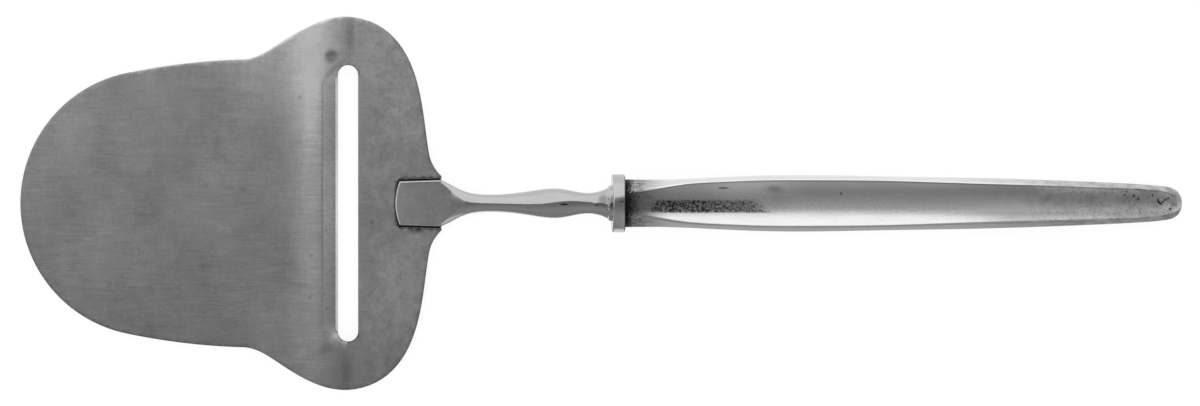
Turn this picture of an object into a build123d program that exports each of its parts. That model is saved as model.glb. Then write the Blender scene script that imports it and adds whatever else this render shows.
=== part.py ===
from build123d import *
import os
from math import asin, atan, atan2, cos, hypot, radians, sin, tan

# Cheese slicer: a pressed steel blade with a sharpened slot, a forged shank let
# into the blade and brazed, a collar ring, and a hollow silver handle in two soldered
# halves that is filled with cement round the shank's tang.
# Millimetres. X runs from the blade's tip to the handle's end, Z is up, and the
# slicer lies on Z = 0 on its cutting lip and on the end of its handle.

# Blade, a sheet cut to a pear shape and pressed
blade_length = 76.2
blade_width = 67.55
sheet = 1.0
sheet_softening = 0.15
front_radius = 24.05
front_sweep = 78.0
waist_width = 52.1
flank_lean = 9.6

# Slot, with a lip pressed down and sharpened along its front side
slot_length = 50.0
slot_width = 3.7
lip_reach = 2.9
lip_drop = 1.4
lip_fade = 2.5
bevel_width = 0.72
edge_land = 0.08
dimple_radius = 2.6
dimple_depth = 0.2
dimple_past_slot = 1.5
dimple_before_slot = 1.8

# Tongue, the part of the sheet pressed down between two slits to seat the shank
tongue_drop_share = 0.9
slit_width = 0.3
tongue_wall = 0.9
horn_land = 0.3
tongue_ramp = 0.7
braze = 0.1

# Shank, forged in one piece: paddle, round neck, flare, spigot and tang
paddle_length = 8.35
paddle_front_width = 8.15
paddle_rear_width = 8.6
paddle_thickness = 1.2
paddle_nose = 0.75
paddle_chamfer = 0.25
neck_length = 30.8
neck_waist = 3.15
neck_swell = 5.3
neck_pinch = 3.76
flare_width = 6.7
spigot_diameter = 4.4
tang_length = 62.0
tang_root = 3.0
tang_tip = 1.6

# Collar ring between the neck and the handle
collar_diameter = 10.5
collar_thickness = 2.3
collar_softening = 0.4
collar_height = 8.0
fit_clearance = 0.05

# Handle, two stamped halves with a hollow flute above and below
handle_length = 100.84
handle_width = 10.12
handle_thickness = 8.3
wall = 0.7
filler_clearance = 0.1
seam_solder_thickness = 0.1

overrun = 5.0

# Share of the blade's length and of its half width, from the shoulder round the
# lobe to the straight flank behind it, and where the slot lies
lobe_shares = [
    (0.619, 0.864),
    (0.774, 1.0),
    (0.8645, 0.9316),
    (0.9142, 0.8031),
    (0.946, 0.6104),
    (0.9624, 0.3855),
]
waist_share = 0.5286
flank_share = 0.9699
flank_width_share = 0.268
slot_middle_share = 0.7776

# Stations of the neck: share of its length, the two sizes that the width lies between
# and its share of the way, thickness over width, and share of the climb from the
# paddle's middle to the collar's centre
neck_shares = [
    (-0.01, neck_waist, paddle_rear_width, 1.0, 0.32, 0.0),
    (0.048, neck_waist, paddle_rear_width, 0.7, 0.321, -0.017),
    (0.107, neck_waist, paddle_rear_width, 0.347, 0.4, -0.043),
    (0.166, neck_waist, paddle_rear_width, 0.12, 0.58, -0.043),
    (0.284, neck_waist, neck_swell, 0.0, 1.0, 0.138),
    (0.52, neck_waist, neck_swell, 0.6, 1.0, 0.56),
    (0.695, neck_waist, neck_swell, 1.0, 1.0, 0.862),
    (0.874, neck_pinch, neck_swell, 0.0, 1.0, 1.01),
    (0.935, neck_pinch, flare_width, 0.25, 1.0, 1.013),
    (1.0, neck_pinch, flare_width, 1.0, 1.0, 1.0),
]

# Shares of the neck's length where the ground flat starts to lift and leaves the neck,
# and its rise there as a share of the neck's waist
flat_end_share = 0.115
flat_lift_share = 0.15
flat_lift_rise_share = 0.085

# Share of the handle's length, then shares of its half width and half thickness:
# half width at the middle, ridge out, ridge up, and flute floor up. The cavity ends
# where the nose begins
handle_shares = [
    (0.0, 0.852, 0.375, 0.863, 0.964),
    (0.045, 0.842, 0.49, 0.872, 0.79),
    (0.1, 0.864, 0.665, 0.905, 0.73),
    (0.172, 0.931, 0.765, 0.952, 0.715),
    (0.244, 0.99, 0.818, 0.983, 0.715),
    (0.3157, 1.008, 0.826, 1.0, 0.72),
    (0.459, 0.964, 0.804, 0.988, 0.725),
    (0.603, 0.92, 0.721, 0.928, 0.735),
    (0.746, 0.84, 0.644, 0.843, 0.735),
    (0.854, 0.755, 0.573, 0.759, 0.685),
    (0.926, 0.682, 0.52, 0.699, 0.648),
    (0.9614, 0.626, 0.45, 0.65, 0.61),
    (0.9794, 0.567, 0.37, 0.59, 0.568),
]
nose_shares = [
    (0.99, 0.474, 0.29, 0.47, 0.48),
    (0.997, 0.32, 0.19, 0.31, 0.33),
    (1.0, 0.18, 0.1, 0.17, 0.19),
]
inner_wall_chords = 4
inset_ridge_out_share = 0.9
inset_ridge_up_share = 1.2

# Levels over the table
tongue_drop = sheet * tongue_drop_share
plate_bottom = lip_drop
plate_top = plate_bottom + sheet
tongue_top = plate_top - tongue_drop
paddle_seat = tongue_top + braze
paddle_top = paddle_seat + paddle_thickness
paddle_middle = paddle_seat + paddle_thickness / 2

# The handle slopes down from the collar until its ridges touch the table, a little
# before the nose: rest_reach * sin(slope) + rest_depth * cos(slope) = collar_height
rest_along, _, _, rest_up, _ = handle_shares[-3]
rest_reach = collar_thickness + handle_length * rest_along
rest_depth = handle_thickness / 2 * rest_up
handle_slope = asin(collar_height / hypot(rest_reach, rest_depth)) - atan2(rest_depth, rest_reach)

# Places along X
rear_run = (collar_thickness + handle_length) * cos(handle_slope)
overall_length = blade_length + neck_length + rear_run
tip_x = -overall_length / 2
blade_rear_x = tip_x + blade_length
collar_x = blade_rear_x + neck_length

handle_dir = Vector(cos(handle_slope), 0, -sin(handle_slope))
collar_plane = Plane(origin=(collar_x, 0, collar_height), x_dir=(0, 1, 0), z_dir=handle_dir)
mouth_plane = collar_plane.offset(collar_thickness)
seam_plane = Plane(
    origin=collar_plane.origin, x_dir=handle_dir, z_dir=(sin(handle_slope), 0, cos(handle_slope))
)
blade_plane = Plane(origin=(tip_x, 0, plate_bottom))


def blend(low, high, share):
    """A size that lies the given share of the way from low to high."""
    return low + (high - low) * share


def paddle_outline(level, front_grow, side_grow, rear_grow):
    """The paddle's plan at a level over the plate's underside, grown on each side."""
    front_x = blade_length - paddle_length - front_grow
    corner_x = front_x + paddle_nose
    rear_x = blade_length + rear_grow
    front_half = paddle_front_width / 2 + side_grow
    rear_half = paddle_rear_width / 2 + side_grow
    with BuildSketch(blade_plane.offset(level)) as outline:
        with BuildLine():
            ThreePointArc((corner_x, -front_half), (front_x, 0), (corner_x, front_half))
            Polyline(
                (corner_x, front_half),
                (rear_x, rear_half),
                (rear_x, -rear_half),
                (corner_x, -front_half),
            )
        make_face()
    return outline.sketch


# Blade plate
lip_straight = slot_length - 2 * lip_fade
slot_middle = blade_length * slot_middle_share
slot_front = slot_middle - slot_width / 2
bend_x = slot_front - lip_reach
bevel_x = slot_front - bevel_width
lip_slope = atan(lip_drop / lip_reach)
top_bend_x = bend_x + sheet * tan(lip_slope / 2)
bevel_height = sheet - (bevel_x - top_bend_x) * tan(lip_slope)

full_lip = [
    (bend_x, 0),
    (slot_front, -lip_drop),
    (slot_front, edge_land - lip_drop),
    (bevel_x, bevel_height),
    (top_bend_x, sheet),
    (bend_x, sheet),
]
no_lip = [
    (bend_x, 0),
    (slot_middle, 0),
    (slot_middle, sheet),
    (bevel_x, sheet),
    (top_bend_x, sheet),
    (bend_x, sheet),
]


def lip_section(offset_y, points):
    """The lip's cross-section, in a plane across Y."""
    plane = Plane(origin=(tip_x, offset_y, plate_bottom), x_dir=(1, 0, 0), z_dir=(0, -1, 0))
    with BuildSketch(plane) as section:
        with BuildLine():
            Polyline(*points, close=True)
        make_face()
    return section.sketch


half_width = blade_width / 2
horn_half = paddle_rear_width / 2 + slit_width + horn_land
flank_end = (blade_length * flank_share, half_width * flank_width_share)
flank_dir = (sin(radians(flank_lean)), -cos(radians(flank_lean)))

with BuildPart() as blade_plate:
    with BuildSketch(blade_plane):
        with BuildLine():
            front = CenterArc((front_radius, 0), front_radius, 180, -front_sweep)
            side = TangentArc(
                front @ 1, (blade_length * waist_share, waist_width / 2), tangent=front % 1
            )
            lobe_points = [(blade_length * along, half_width * out) for along, out in lobe_shares]
            Spline(side @ 1, *lobe_points, flank_end, tangents=(side % 1, flank_dir))
            horn = TangentArc(flank_end, (blade_length, horn_half), tangent=flank_dir)
            Polyline(horn @ 1, (blade_length, 0), (0, 0))
        make_face()
        mirror(about=Plane.XZ)
    extrude(amount=sheet)
    chamfer(blade_plate.faces().sort_by(Axis.Z)[-1].edges(), sheet_softening)
    # the window is filled again by the lip, straight in the middle and fading to the ends
    with BuildSketch(blade_plane):
        with Locations(((bend_x + slot_middle) / 2, 0)):
            Rectangle(slot_middle - bend_x, slot_length)
    extrude(amount=sheet, mode=Mode.SUBTRACT)
    extrude(lip_section(lip_straight / 2, full_lip), amount=lip_straight)
    for side_sign in (1, -1):
        lip_end = lip_section(side_sign * lip_straight / 2, full_lip)
        slot_end = lip_section(side_sign * slot_length / 2, no_lip)
        loft(sections=[lip_end, slot_end], ruled=True)
    with BuildSketch(blade_plane):
        with Locations((slot_middle, 0)):
            SlotOverall(slot_length, slot_width, rotation=90)
    extrude(amount=sheet + lip_drop, both=True, mode=Mode.SUBTRACT)
    dimple_x = tip_x + slot_front - dimple_before_slot
    dimple_y = slot_length / 2 + dimple_past_slot
    dimple_up = plate_top - dimple_depth + dimple_radius
    with Locations((dimple_x, dimple_y, dimple_up), (dimple_x, -dimple_y, dimple_up)):
        Sphere(dimple_radius, mode=Mode.SUBTRACT)
    # the tongue hangs below the sheet, joined to it by the pressed step at its front
    extrude(paddle_outline(0, braze, slit_width, overrun), amount=sheet, mode=Mode.SUBTRACT)
    extrude(paddle_outline(-tongue_drop, tongue_wall, 0, 0), amount=sheet)
    tongue_face = blade_plate.faces().filter_by(Axis.Z).group_by(Axis.Z)[1].sort_by(Axis.X)[-1]
    chamfer(tongue_face.edges().group_by(Axis.X)[0], tongue_ramp)
blade_plate.part.label = "blade_plate"

# Braze film between the tongue and the paddle
with BuildPart() as braze_film:
    extrude(paddle_outline(sheet - tongue_drop, 0, 0, 0), amount=braze)
braze_film.part.label = "braze_film"

# Shank
climb = collar_height - paddle_middle
neck_points = [
    Vector(blade_rear_x + neck_length * along, 0, paddle_middle + climb * rise)
    for along, *_, rise in neck_shares
]
with BuildLine() as neck_line:
    neck_curve = Spline(*neck_points, tangents=[(1, 0, 0), handle_dir])

neck_sections = []
for point, (_, narrow, broad, width_share, thickness_share, _) in zip(neck_points, neck_shares):
    width = blend(narrow, broad, width_share)
    across = Plane(origin=point, x_dir=(0, 1, 0), z_dir=neck_curve.tangent_at(point))
    with BuildSketch(across) as neck_section:
        Ellipse(width / 2, width / 2 * thickness_share)
    neck_sections.append(neck_section.sketch)

flat_start_x = blade_rear_x - paddle_length / 2
flat_end_x = blade_rear_x + neck_length * flat_end_share
lift_x = blade_rear_x + neck_length * flat_lift_share
lift_z = paddle_top + neck_waist * flat_lift_rise_share
clear_z = collar_height + overrun

# The neck is a round forging, ground flat above where it runs into the paddle
with BuildPart() as neck:
    loft(sections=neck_sections)
    with BuildSketch(Plane.XZ):
        with BuildLine():
            flat = Line((flat_start_x, paddle_top), (flat_end_x, paddle_top))
            lift = TangentArc(flat @ 1, (lift_x, lift_z), tangent=flat % 1)
            Polyline(lift @ 1, (lift_x, clear_z), (flat_start_x, clear_z), flat @ 0)
        make_face()
    extrude(amount=paddle_rear_width, both=True, mode=Mode.SUBTRACT)
    with BuildSketch(Plane.XZ):
        with Locations((blade_rear_x + braze, paddle_seat)):
            Rectangle(paddle_length, overrun, align=(Align.MAX, Align.MAX))
    extrude(amount=paddle_rear_width, both=True, mode=Mode.SUBTRACT)

with BuildPart() as shank:
    # the paddle, with its upper edge eased all round but at the neck
    extrude(paddle_outline(sheet - tongue_drop + braze, 0, 0, 0), amount=paddle_thickness)
    paddle_rim = shank.faces().sort_by(Axis.Z)[-1].edges().sort_by(Axis.X)[:-1]
    chamfer(paddle_rim, paddle_chamfer)
    add(neck.part)
    # the spigot fills the collar, and the tang runs on into the handle
    with BuildSketch(collar_plane):
        Circle(spigot_diameter / 2)
    extrude(amount=collar_thickness)
    with BuildSketch(mouth_plane):
        Rectangle(tang_root, tang_root)
    with BuildSketch(mouth_plane.offset(tang_length)):
        Rectangle(tang_tip, tang_tip)
    loft()
shank.part.label = "shank"

# Collar ring
with BuildPart() as collar_ring:
    with BuildSketch(collar_plane):
        Circle(collar_diameter / 2)
        Circle(spigot_diameter / 2 + fit_clearance, mode=Mode.SUBTRACT)
    extrude(amount=collar_thickness)
    rims = collar_ring.edges().filter_by(GeomType.CIRCLE).group_by(SortBy.RADIUS)[-1]
    chamfer(rims, collar_softening)
collar_ring.part.label = "collar_ring"


# Handle
def bowed_sides(inset, side_out, ridge_out, ridge_up, floor_up):
    """A section's flute, side, lower flute and side: two ends and the pull between them."""
    side = handle_width / 2 * side_out - inset
    out = handle_width / 2 * ridge_out - inset * inset_ridge_out_share
    up = handle_thickness / 2 * ridge_up - inset * inset_ridge_up_share
    floor = handle_thickness / 2 * floor_up - inset
    return [
        ((-out, up), (0, 2 * floor - up), (out, up)),
        ((out, up), (2 * side - out, 0), (out, -up)),
        ((out, -up), (0, up - 2 * floor), (-out, -up)),
        ((-out, -up), (out - 2 * side, 0), (-out, up)),
    ]


def outer_sections():
    """Sections of the handle's outside, square to it, from the mouth to the end."""
    sections = []
    for along, *shares in handle_shares + nose_shares:
        with BuildSketch(mouth_plane.offset(handle_length * along)) as section:
            with BuildLine():
                for side in bowed_sides(0, *shares):
                    Bezier(*side)
            make_face()
        sections.append(section.sketch)
    return sections


def inner_sections(inset):
    """Sections inside the handle, plainer: each side is a few straight chords."""
    sections = []
    for along, *shares in handle_shares:
        with BuildSketch(mouth_plane.offset(handle_length * along)) as section:
            with BuildLine():
                bows = [Bezier(*side, mode=Mode.PRIVATE) for side in bowed_sides(inset, *shares)]
                steps = [step / inner_wall_chords for step in range(inner_wall_chords)]
                Polyline(*[bow @ step for bow in bows for step in steps], close=True)
            make_face()
        sections.append(section.sketch)
    return sections


seam_top = seam_plane.offset(seam_solder_thickness / 2)
seam_bottom = seam_plane.offset(-seam_solder_thickness / 2)
halves = {
    "handle_upper_shell": [(seam_top, Keep.TOP)],
    "handle_lower_shell": [(seam_bottom, Keep.BOTTOM)],
    "seam_solder": [(seam_top, Keep.BOTTOM), (seam_bottom, Keep.TOP)],
}
silverwork = []
for name, cuts in halves.items():
    with BuildPart() as shell:
        loft(sections=outer_sections(), ruled=True)
        loft(sections=inner_sections(wall), ruled=True, mode=Mode.SUBTRACT)
        for plane, side_kept in cuts:
            split(bisect_by=plane, keep=side_kept)
    shell.part.label = name
    silverwork.append(shell)

with BuildPart() as handle_filler:
    loft(sections=inner_sections(wall + filler_clearance), ruled=True)
    with BuildSketch(mouth_plane) as tang_pocket_root:
        Rectangle(tang_root + 2 * fit_clearance, tang_root + 2 * fit_clearance)
    with BuildSketch(mouth_plane.offset(tang_length + fit_clearance)) as tang_pocket_tip:
        Rectangle(tang_tip + 2 * fit_clearance, tang_tip + 2 * fit_clearance)
    loft(sections=[tang_pocket_root.sketch, tang_pocket_tip.sketch], mode=Mode.SUBTRACT)
handle_filler.part.label = "handle_filler"

os.makedirs("parts", exist_ok=True)
for piece in [blade_plate, braze_film, shank, collar_ring, *silverwork, handle_filler]:
    export_step(piece.part, f"parts/{piece.part.label}.step")
    print(piece.part.label, round(piece.part.volume, 1), "cubic mm")
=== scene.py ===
# %% [markdown]
# # A cheese slicer with a silver handle
# The object is an old kitchen slicer: a pear-shaped steel blade with one sharpened slot, a
# forged steel neck, a small collar, and a fluted silver handle. Its construction comes from
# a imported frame. This lesson builds the finish around that frame: fine meshes for the
# pieces that show, worn metal for their surfaces, and the soft light that metal needs.

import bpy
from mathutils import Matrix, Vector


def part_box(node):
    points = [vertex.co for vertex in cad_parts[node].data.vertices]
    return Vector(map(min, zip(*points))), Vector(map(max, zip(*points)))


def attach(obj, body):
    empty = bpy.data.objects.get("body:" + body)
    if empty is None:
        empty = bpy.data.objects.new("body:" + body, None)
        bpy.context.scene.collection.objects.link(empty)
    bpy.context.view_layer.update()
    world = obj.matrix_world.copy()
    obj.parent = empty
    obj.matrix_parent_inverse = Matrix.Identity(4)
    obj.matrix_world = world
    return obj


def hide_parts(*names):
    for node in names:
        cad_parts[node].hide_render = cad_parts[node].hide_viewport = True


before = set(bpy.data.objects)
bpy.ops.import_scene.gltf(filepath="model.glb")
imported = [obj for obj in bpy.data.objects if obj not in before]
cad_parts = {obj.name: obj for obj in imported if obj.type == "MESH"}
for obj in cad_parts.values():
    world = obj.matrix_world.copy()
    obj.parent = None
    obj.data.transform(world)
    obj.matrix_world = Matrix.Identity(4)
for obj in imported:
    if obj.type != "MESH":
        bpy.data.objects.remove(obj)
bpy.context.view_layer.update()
print("frame nodes:", ", ".join(sorted(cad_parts)))

# %% Libraries and the unit
from math import asin, atan, atan2, cos, hypot, pi, radians, sin, sqrt, tan

import bmesh
import bpy
import numpy as np
from mathutils import Vector
from mathutils.geometry import delaunay_2d_cdt

mm = 0.001
print("one millimetre is", mm, "Blender units")

# %% [markdown]
# ## Sizes
# The blade's length, width and height above the table are read from the frame, so the new
# meshes can't drift away from it. Sizes that a box can't give, such as the slot's width,
# are written once here, in millimetres, and everything else follows from them.

# %% Read the main places from the frame
blade_low, blade_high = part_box("blade_plate")
tip_x = blade_low.x
rear_x = blade_high.x
blade_length = rear_x - tip_x
half_width = (blade_high.y - blade_low.y) / 2
plate_top = blade_high.z
print(f"blade {blade_length / mm:.1f} mm long and {2 * half_width / mm:.1f} mm wide")

# %% Name the blade's own sizes
sheet = 1.0 * mm
edge_round = 0.1 * mm
plate_bottom = plate_top - sheet
lip_drop = plate_bottom
front_radius = 24.05 * mm
front_sweep = radians(78)
waist_half = 26.05 * mm
waist_share = 0.5286
slot_middle = blade_length * 0.7776
slot_width = 3.7 * mm
slot_half = 25.0 * mm
slot_front = slot_middle - slot_width / 2
lip_reach = 2.9 * mm
bevel_width = 0.42 * mm
edge_land = 0.08 * mm
print(f"the slot's front edge is {slot_front / mm:.2f} mm from the tip")

# %% [markdown]
# ## Curves from a few points
# A cutler's outline is a few arcs and one sweeping curve. Blender could draw it with Bezier
# handles, but a formula is easier to check: an arc that starts along a given direction, and
# a cubic spline that passes through its points with no jump in slope or bend. The same
# spline later gives the neck and the handle their smooth change of section.

# %% A spline with no jump in slope or bend
def spline(points, samples, start=None, end=None):
    """Points along a cubic spline; start and end are its directions there, where given."""
    given = np.array(points, float)
    gaps = np.linalg.norm(np.diff(given, axis=0), axis=1)
    slopes = np.diff(given, axis=0) / gaps[:, None]
    count = len(given)
    system = np.zeros((count, count))
    wanted = np.zeros_like(given)
    for i in range(1, count - 1):
        system[i, i - 1:i + 2] = gaps[i], 2 * (gaps[i - 1] + gaps[i]), gaps[i - 1]
        wanted[i] = 3 * (gaps[i] * slopes[i - 1] + gaps[i - 1] * slopes[i])
    for row, beside, slope, direction in ((0, 1, slopes[0], start), (-1, -2, slopes[-1], end)):
        free = direction is None
        system[row, row] = 2 if free else 1
        system[row, beside] = 1 if free else 0
        wanted[row] = 3 * slope if free else direction
    tangents = np.linalg.solve(system, wanted)
    knots = np.concatenate(([0], np.cumsum(gaps)))
    places = samples * knots[-1]
    spans = np.clip(np.searchsorted(knots, places, side="right") - 1, 0, count - 2)
    width = gaps[spans]
    share = ((places - knots[spans]) / width)[:, None]
    low, high = given[spans], given[spans + 1]
    pull_low, pull_high = tangents[spans] * width[:, None], tangents[spans + 1] * width[:, None]
    return (
        (1 + 2 * share) * (1 - share) ** 2 * low
        + share * (1 - share) ** 2 * pull_low
        + share ** 2 * (3 - 2 * share) * high
        + share ** 2 * (share - 1) * pull_high
    )


middle = spline([(0, 0), (1, 1), (2, 0)], np.array([0.25]))[0]
print("a spline over one hill passes", np.round(middle, 3))

# %% An arc that leaves a point in a given direction
def turned(direction, angle):
    """A direction in the plan, turned to the left."""
    x, y = direction
    return np.array((x * cos(angle) - y * sin(angle), x * sin(angle) + y * cos(angle)))


def arc_from(start, direction, end, count):
    """Points on the arc that leaves start along direction and ends at end; its last direction."""
    start, direction = np.array(start), np.array(direction)
    chord = end - start
    half_turn = atan2(direction[0] * chord[1] - direction[1] * chord[0], direction @ chord)
    left = np.array((-direction[1], direction[0]))
    radius = np.linalg.norm(chord) / (2 * sin(half_turn))
    turns = np.linspace(0, 2 * half_turn, count)
    points = [start + left * radius + turned(-left * radius, turn) for turn in turns]
    return np.array(points), turned(direction, 2 * half_turn)


print("a quarter arc ends along", np.round(arc_from((0, 0), (1, 0), (1, 1), 5)[1], 3))

# %% [markdown]
# ## The blade's outline
# Seen from above, the blade is a round nose, a long flank, a shoulder that swells into a
# lobe beside each end of the slot, and a hollow curve that runs in to the neck. Only one
# half is drawn, and the other half is its mirror image, as in a stamping tool.

# %% Draw half of the outline, from the tip to the horn beside the neck
lobe_shares = [
    (0.619, 0.864), (0.774, 1.0), (0.8645, 0.9316),
    (0.9142, 0.8031), (0.946, 0.6104), (0.9624, 0.3855),
]
flank_end = (0.9699 * blade_length, 0.268 * half_width)
flank_lean = radians(9.6)
flank_direction = (sin(flank_lean), -cos(flank_lean))
paddle_length = 8.35 * mm
paddle_nose = 0.75 * mm
paddle_front_half = 8.15 * mm / 2
paddle_rear_half = 8.6 * mm / 2
slit_width = 0.3 * mm
braze_gap = 0.1 * mm
horn_half = paddle_rear_half + 2 * slit_width


def half_outline():
    """Half of the blade's edge, from the tip to the horn, in the blade's own plan."""
    turns = np.linspace(0, front_sweep, 110)
    nose = np.column_stack((front_radius * (1 - np.cos(turns)), front_radius * np.sin(turns)))
    along_nose = (sin(front_sweep), cos(front_sweep))
    waist = (waist_share * blade_length, waist_half)
    side, along_side = arc_from(nose[-1], along_nose, waist, 60)
    lobe_points = [(a * blade_length, o * half_width) for a, o in lobe_shares]
    lobe = spline(
        [side[-1], *lobe_points, flank_end], np.linspace(0, 1, 180), along_side, flank_direction
    )
    horn, _ = arc_from(flank_end, flank_direction, (blade_length, horn_half), 14)
    return np.vstack((nose, side[1:], lobe[1:], horn[1:]))


edge_half = half_outline()
print(len(edge_half), "points, widest at", round(edge_half[:, 1].max() / mm, 2), "mm")

# %% [markdown]
# ## The blade's surface as a height
# A pressed sheet is easiest to think of as a height over its plan. Most of it is level. In
# front of the slot a flap is bent down to the table, and its fold turns in towards the slot
# at both ends. The flap's edge is ground to a bevel. The press also left the sheet a little
# proud before the fold, let the lobes droop, and pushed a dent past each end of the slot,
# one a little forward of the other.

# %% The fold, the bevel and the marks of the press
lip_slope = lip_drop / lip_reach
fold_x = slot_front - lip_reach
top_fold_x = fold_x + sheet * tan(atan(lip_slope) / 2)
fold_straight = 22.4 * mm
fold_bend = 1.3 * mm
fold_slant = 1.25
fold_round = 0.34 * mm
bevel_x = slot_front - bevel_width
dimple_y = slot_half + 1.5 * mm
dimple_x = slot_front - 1.58 * mm
dimple_lean = 0.47 * mm
dimple_radius = 1.4 * mm
dimple_depth = 0.09 * mm
swell_height = 0.11 * mm
swell_reach = 2.6 * mm
droop_height = 0.32 * mm
droop_start = 0.62 * half_width
wave_room = 0.03 * mm


def ease(share):
    """A smooth step from 0 to 1."""
    share = np.clip(share, 0, 1)
    return share * share * (3 - 2 * share)


def towards_ends(y, start, reach):
    """0 beside the slot's middle and 1 past its ends; start and reach are in millimetres."""
    return ease((np.abs(y) - start * mm) / (reach * mm))


def soft_ramp(distance, radius):
    """The distance where it is positive, with the corner at zero rounded."""
    radius = np.broadcast_to(radius, np.shape(distance))
    rounded = (distance + radius) ** 2 / (4 * radius)
    return np.where(distance > radius, distance, np.where(distance < -radius, 0, rounded))


def fold_turn(y):
    """How far the fold line has turned in towards the slot at its ends."""
    return soft_ramp(np.abs(y) - fold_straight, fold_bend) * fold_slant


def fold_softness(y):
    """The fold's rounding, tight along the slot and wide at its ends."""
    return fold_round + 0.55 * mm * towards_ends(y, 20.6, 3.4)


def bevel_share(y):
    """1 along the ground edge, fading to 0 at the ends of the slot."""
    return 1 - towards_ends(y, 21.6, 2.2)


print(f"the lip leans down {np.degrees(atan(lip_slope)):.0f} degrees")

# %% The heights of the sheet's two faces
def droop(x, y):
    """The lobes hang a little below the level sheet."""
    out = np.clip((np.abs(y) - droop_start) / (half_width - droop_start), 0, 1.1)
    along = ease((x - 0.45 * blade_length) / (0.22 * blade_length))
    return -droop_height * out ** 2 * along


def swell(x, y):
    """The sheet rises gently on its way to the fold."""
    before = np.exp(-(((x - fold_x + 0.9 * mm) / swell_reach) ** 2))
    return swell_height * before * (1 - towards_ends(y, 19, 7)) * np.where(x < slot_middle, 1, 0)


def waviness(x, y):
    """Long shallow waves that rolling and pressing leave in thin sheet."""
    a = np.sin(x / (6.1 * mm) + 1.3) * np.sin(y / (7.3 * mm) + 0.4)
    b = np.sin(x / (9.7 * mm) - y / (8.2 * mm) + 2.1)
    return 0.012 * mm * a + 0.016 * mm * b


def bent_down(x, y, crease_x):
    """How far the flap hangs below the level sheet, for a crease on the sheet's one face."""
    flap = soft_ramp(x - crease_x - fold_turn(y), fold_softness(y))
    return lip_slope * np.where(x > slot_middle, 0, flap)


def underside(x, y):
    """The height of the blade's lower face."""
    return plate_bottom - bent_down(x, y, fold_x) + droop(x, y)


def topside(x, y):
    """The height of the blade's upper face."""
    level = plate_top - bent_down(x, y, top_fold_x) + droop(x, y)
    level = level + swell(x, y) + waviness(x, y) - wave_room
    ground = np.clip((x - bevel_x) / bevel_width, 0, 1) * np.where(x > slot_middle, 0, 1)
    thin_to = underside(x, y) + edge_land
    level = level + (thin_to - level) * ground * bevel_share(y)
    off_centre = x - dimple_x - dimple_lean * np.sign(y)
    away = np.hypot(off_centre, np.abs(y) - dimple_y) / dimple_radius
    return level - dimple_depth * (1 - ease(away))


print(f"the edge at the slot stands {float(underside(slot_front, 0.0)) / mm:.2f} mm up")

# %% [markdown]
# ## Filling the sheet with triangles
# The face needs many small triangles where it bends and few where it is level, and its
# border must follow the outline, the slot and the slits exactly. Delaunay triangulation
# does that: it takes the border, the folds and a scatter of inner points, and joins them
# with the roundest triangles it can. Triangles outside the border are then dropped.

# %% Lay out the border loops
pocket_front = blade_length - paddle_length - braze_gap


def offset_loop(loop, distances):
    """A closed loop moved inwards, each point by its own distance."""
    along = np.roll(loop, -1, axis=0) - np.roll(loop, 1, axis=0)
    along /= np.linalg.norm(along, axis=1)[:, None]
    inward = np.column_stack((-along[:, 1], along[:, 0]))
    return loop + inward * np.asarray(distances)[:, None]


def pocket_half():
    """The slit's wall and half of the pocket's round front, from the rear to the middle."""
    wall_rear = (blade_length, paddle_rear_half + slit_width)
    corner = (pocket_front + paddle_nose, paddle_front_half + slit_width)
    slit_wall = np.linspace(wall_rear, corner, 22)
    bow = np.linspace(0, 1, 24)[1:]
    front_x = corner[0] - paddle_nose * (1 - (1 - bow) ** 2)
    return np.vstack((slit_wall, np.column_stack((front_x, corner[1] * (1 - bow)))))


def on_outline(point):
    """Whether a border point is one of the outline's own, and so has a softened rim."""
    return np.linalg.norm(edge_half - (point[0], abs(point[1])), axis=1).min() < 1e-9


def slot_loop():
    """The slot's rim: two straight runs with fine steps, and two round ends."""
    radius = slot_width / 2
    straight = slot_half - radius
    run = np.linspace(-straight, straight, 190)
    turn = np.linspace(0, pi, 26)[1:-1]
    rear = np.column_stack((np.full_like(run, slot_middle + radius), run))
    top = np.column_stack((slot_middle + radius * np.cos(turn), straight + radius * np.sin(turn)))
    return np.vstack((rear, top, rear[::-1] - (2 * radius, 0), (top * (1, -1))[::-1]))


upper_run = np.vstack((edge_half, pocket_half()))
lower_run = (upper_run * (1, -1))[::-1]
border = np.vstack((lower_run[:-1], upper_run[:-1]))[::-1]
rounding = np.where([on_outline(point) for point in border], edge_round, 0)
slot_rim = slot_loop()
print(len(border), "border points and", len(slot_rim), "round the slot")

# %% Tell places apart
def inside(points, loop):
    """Which points lie inside a closed loop, by counting the edges that a ray crosses."""
    x, y = points[:, :1], points[:, 1:]
    x0, y0 = loop[:, 0], loop[:, 1]
    x1, y1 = np.roll(x0, -1), np.roll(y0, -1)
    spans = (y0 > y) != (y1 > y)
    rise = np.where(y1 == y0, 1, y1 - y0)
    crosses = spans & (x < (x1 - x0) * (y - y0) / rise + x0)
    return crosses.sum(axis=1) % 2 == 1


def far_from(points, loop, gap):
    """Which points keep at least the gap from a loop's points."""
    near = np.full(len(points), np.inf)
    for start in range(0, len(loop), 64):
        part = loop[start:start + 64]
        apart = np.linalg.norm(points[:, None, :] - part[None, :, :], axis=2)
        near = np.minimum(near, apart.min(axis=1))
    return near > gap


def in_lip(x, y):
    """Whether a place is in the lip's finer rows."""
    return fold_x - 4.2 * mm < x < slot_front and abs(y) < slot_half


def in_dent(x, y):
    """Whether a place is in one of the dents' rings."""
    middle_x = dimple_x + (dimple_lean if y > 0 else -dimple_lean)
    return hypot(x - middle_x, abs(y) - dimple_y) < 1.6 * mm


print("the tip is inside the border:", bool(inside(np.array([[mm, 0.0]]), border)[0]))

# %% Scatter the inner points and fill the face
grid_step = 0.75 * mm
lip_step = 0.4 * mm


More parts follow.
